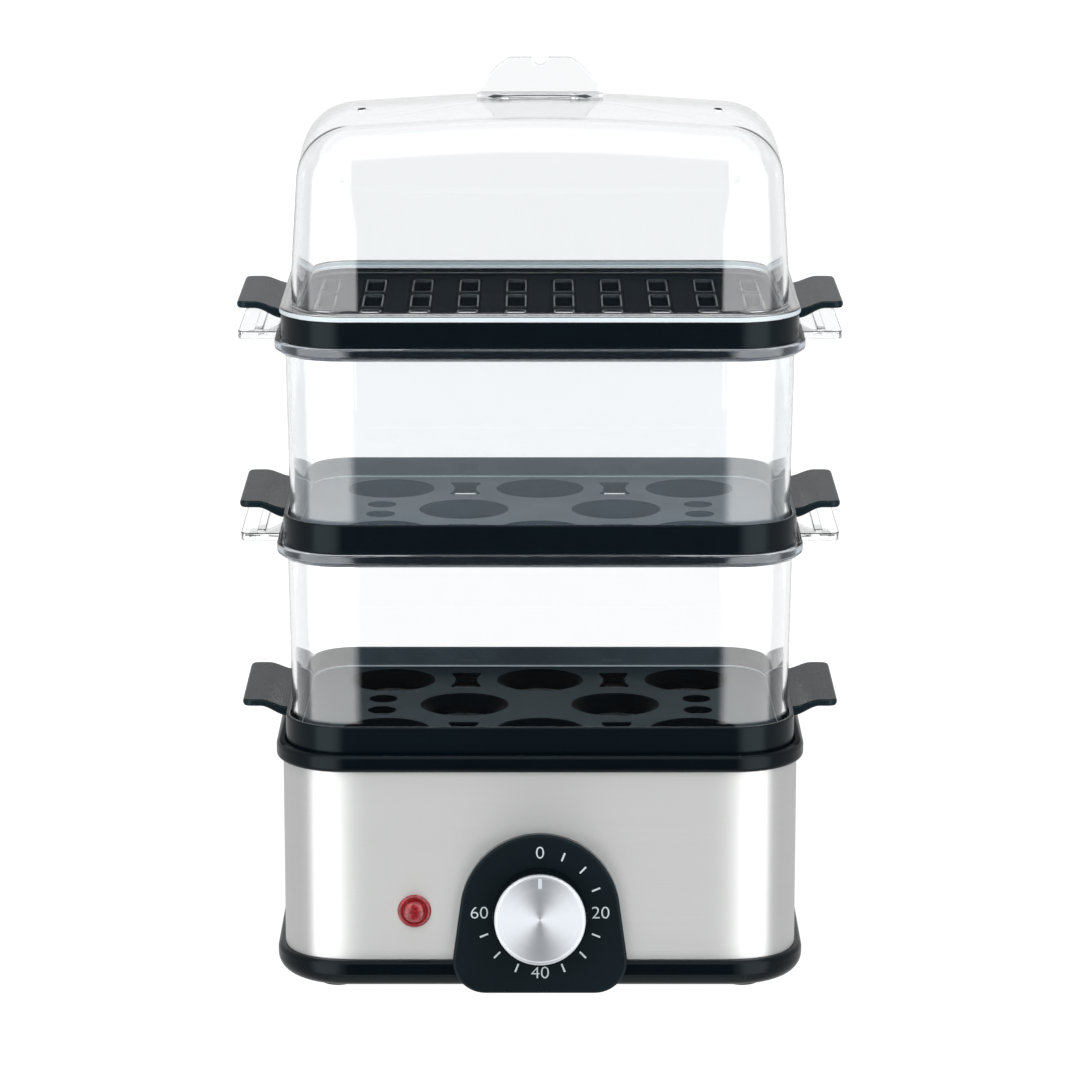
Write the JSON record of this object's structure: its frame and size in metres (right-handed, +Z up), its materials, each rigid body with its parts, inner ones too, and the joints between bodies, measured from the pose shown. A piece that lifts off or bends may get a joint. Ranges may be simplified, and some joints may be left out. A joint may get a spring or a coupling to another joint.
{
  "type": "electric egg cooker",
  "caption": "Stacked electric egg cooker: a steel-banded heated base with a timer dial, dished egg trays, a slotted steamer tray, clear lift-off tiers and a lid.",
  "frame": {"origin": "middle of the footprint on the surface that the appliance stands on", "axes": "+Z up, the dial faces -Y, +X to the right of someone who faces the dial"},
  "size_m": [0.258, 0.1738, 0.3967],
  "materials": {
    "black_plastic": "satin black moulding",
    "tray_plastic": "satin black moulding",
    "clear_plastic": "clear moulding",
    "brushed_band": "brushed along the band",
    "pan_steel": "drawn and polished",
    "sheet_steel": "plain sheet",
    "zinc_steel": "zinc plated",
    "cast_plate": "as cast",
    "knob_metal": "spun with a bright rim",
    "element_sheath": "dark oxide",
    "brass_rod": "plain",
    "rubber": "matt",
    "seal": "silicone",
    "dark_plastic": "matt",
    "pale_plastic": "matt",
    "red_lens": "clear red",
    "lamp_glass": "clear",
    "wire_blue": "insulation",
    "wire_brown": "insulation",
    "wire_white": "sleeving",
    "wire_green": "insulation"
  },
  "bodies": {
    "base": {"bottom_cover": "black_plastic", "rubber_feet": "rubber", "cover_screws": "zinc_steel", "steel_band": "brushed_band", "top_trim": "black_plastic", "pan_seal": "seal", "water_pan": "pan_steel", "heater_plate": "cast_plate", "heating_element": "element_sheath", "upper_standoffs": "brass_rod", "heat_shield": "sheet_steel", "lower_standoffs": "brass_rod", "thermostat": "dark_plastic", "thermal_fuse": "zinc_steel", "fuse_clip": "sheet_steel", "dial_panel": "black_plastic", "panel_screws": "zinc_steel", "timer_bracket": "sheet_steel", "timer_housing": "pale_plastic", "timer_contacts": "brass_rod", "timer_bell": "sheet_steel", "timer_screws": "zinc_steel", "indicator_lens": "red_lens", "indicator_lamp": "lamp_glass", "indicator_nut": "pale_plastic", "cord_gland": "black_plastic", "gland_nut": "black_plastic", "terminal_block": "pale_plastic", "earth_tab": "brass_rod", "supply_wires": "wire_blue", "switched_wire": "wire_brown", "fuse_wires": "wire_white", "earth_wire": "wire_green"},
    "knob": {"knob_skirt": "black_plastic", "knob_cap": "knob_metal", "timer_shaft": "zinc_steel", "timer_gear": "brass_rod", "timer_drum": "sheet_steel", "timer_cam": "pale_plastic"},
    "pinion": {"timer_pinion": "brass_rod"},
    "lower_tray": {"lower_egg_tray": "tray_plastic"},
    "lower_tier": {"lower_clear_tier": "clear_plastic"},
    "middle_tray": {"middle_egg_tray": "tray_plastic"},
    "upper_tier": {"upper_clear_tier": "clear_plastic"},
    "top_tray": {"steamer_tray": "tray_plastic"},
    "lid": {"lid_dome": "clear_plastic", "lid_tab": "clear_plastic"}
  },
  "joints": [
    {"name": "timer_turn", "type": "hinge", "parent": "base", "child": "knob", "pos_m": [0, -0.06958, 0.0398], "axis": [0, 0.9914, -0.1305], "range_deg": [0, 270]},
    {"name": "pinion_turn", "type": "hinge", "parent": "base", "child": "pinion", "pos_m": [0.00962, -0.05398, 0.02805], "axis": [0, 0.9914, -0.1305], "range_deg": [-649, 1]},
    {"name": "lower_tray_lift", "type": "slide", "parent": "base", "child": "lower_tray", "axis": [0, 0, 1], "range_m": [0, 0.06]},
    {"name": "lower_tier_lift", "type": "slide", "parent": "lower_tray", "child": "lower_tier", "axis": [0, 0, 1], "range_m": [0, 0.08]},
    {"name": "middle_tray_lift", "type": "slide", "parent": "lower_tier", "child": "middle_tray", "axis": [0, 0, 1], "range_m": [0, 0.06]},
    {"name": "upper_tier_lift", "type": "slide", "parent": "middle_tray", "child": "upper_tier", "axis": [0, 0, 1], "range_m": [0, 0.08]},
    {"name": "top_tray_lift", "type": "slide", "parent": "upper_tier", "child": "top_tray", "axis": [0, 0, 1], "range_m": [0, 0.06]},
    {"name": "lid_lift", "type": "slide", "parent": "top_tray", "child": "lid", "axis": [0, 0, 1], "range_m": [0, 0.12]}
  ],
  "couplings": [
    {"joint": "pinion_turn", "follows": "timer_turn", "ratio": -2.4}
  ]
}
